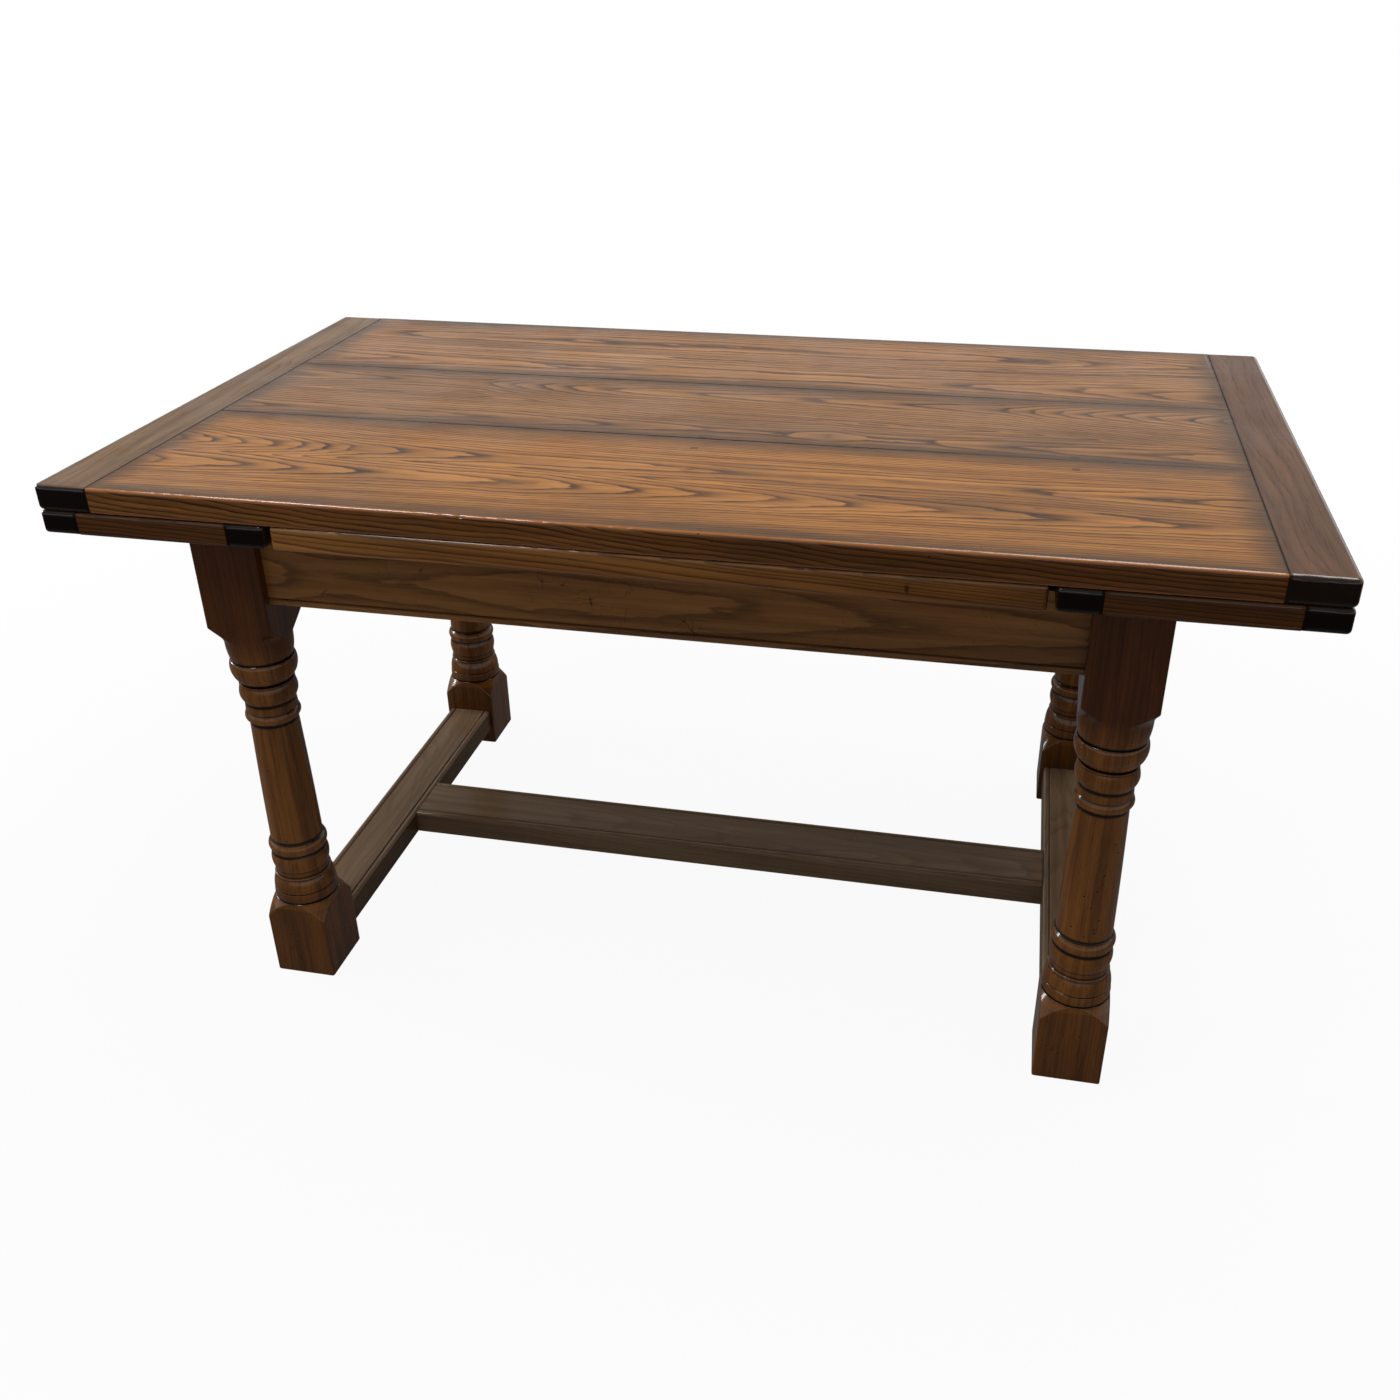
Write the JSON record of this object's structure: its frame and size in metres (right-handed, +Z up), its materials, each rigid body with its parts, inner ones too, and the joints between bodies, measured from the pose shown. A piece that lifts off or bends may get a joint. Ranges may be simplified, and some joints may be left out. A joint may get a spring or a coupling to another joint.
{
  "type": "draw-leaf table",
  "caption": "Oak draw-leaf dining table with turned legs, a low stretcher frame, and end leaves that slide out and up on sloping bearers from under a loose top that lifts with them.",
  "frame": {"origin": "on the floor under the middle of the closed table", "axes": "+X along the length, to the right for someone at the front; +Y from the front side to the back; +Z up"},
  "size_m": [1.51, 0.85, 0.76],
  "materials": {
    "top_plank_oak": "satin varnish over amber-stained oak, cathedral grain",
    "top_cleat_oak": "satin varnish over brown-stained oak",
    "leaf_board_oak": "satin varnish over brown-stained oak",
    "leaf_cleat_oak": "gloss varnish over dark end grain",
    "centre_board_oak": "satin varnish over brown-stained oak",
    "leg_oak": "satin varnish over dark-stained oak, worn",
    "rail_oak": "satin varnish over dark-stained oak",
    "stretcher_oak": "worn satin varnish over dark-stained oak",
    "inner_oak": "bare planed oak",
    "screw_steel": "plain steel"
  },
  "bodies": {
    "frame": {"apron_back": "rail_oak", "apron_front": "rail_oak", "centre_board_back": "centre_board_oak", "centre_board_front": "centre_board_oak", "centre_board_middle": "centre_board_oak", "centre_board_screws": "screw_steel", "centre_stretcher": "stretcher_oak", "cross_rail_left": "inner_oak", "cross_rail_right": "inner_oak", "end_rail_left": "rail_oak", "end_rail_right": "rail_oak", "end_stretcher_left": "stretcher_oak", "end_stretcher_right": "stretcher_oak", "leg_back_left": "leg_oak", "leg_back_right": "leg_oak", "leg_front_left": "leg_oak", "leg_front_right": "leg_oak"},
    "left_leaf": {"left_leaf_bearer_back": "inner_oak", "left_leaf_bearer_front": "inner_oak", "left_leaf_board_back": "leaf_board_oak", "left_leaf_board_front": "leaf_board_oak", "left_leaf_board_middle": "leaf_board_oak", "left_leaf_inner_cleat": "leaf_cleat_oak", "left_leaf_outer_cleat": "leaf_cleat_oak", "left_leaf_screws": "screw_steel", "left_leaf_stops": "inner_oak"},
    "right_leaf": {"right_leaf_bearer_back": "inner_oak", "right_leaf_bearer_front": "inner_oak", "right_leaf_board_back": "leaf_board_oak", "right_leaf_board_front": "leaf_board_oak", "right_leaf_board_middle": "leaf_board_oak", "right_leaf_inner_cleat": "leaf_cleat_oak", "right_leaf_outer_cleat": "leaf_cleat_oak", "right_leaf_screws": "screw_steel", "right_leaf_stops": "inner_oak"},
    "top": {"top_board_back": "top_plank_oak", "top_board_front": "top_plank_oak", "top_board_middle": "top_plank_oak", "top_cleat_left": "top_cleat_oak", "top_cleat_right": "top_cleat_oak", "top_guide_blocks": "inner_oak", "top_guide_pegs": "inner_oak", "top_guide_screws": "screw_steel"}
  },
  "joints": [
    {"name": "left_leaf_draw", "type": "slide", "parent": "frame", "child": "left_leaf", "axis": [-0.9937, 0, 0.1117], "range_m": [0, 0.29988]},
    {"name": "right_leaf_draw", "type": "slide", "parent": "frame", "child": "right_leaf", "axis": [0.9937, 0, 0.1117], "range_m": [0, 0.29988]},
    {"name": "top_lift", "type": "slide", "parent": "frame", "child": "top", "axis": [0, 0, 1], "range_m": [0, 0.0335]}
  ],
  "couplings": [
    {"joint": "right_leaf_draw", "follows": "left_leaf_draw", "ratio": 1},
    {"joint": "top_lift", "follows": "left_leaf_draw", "ratio": 0.11171}
  ]
}
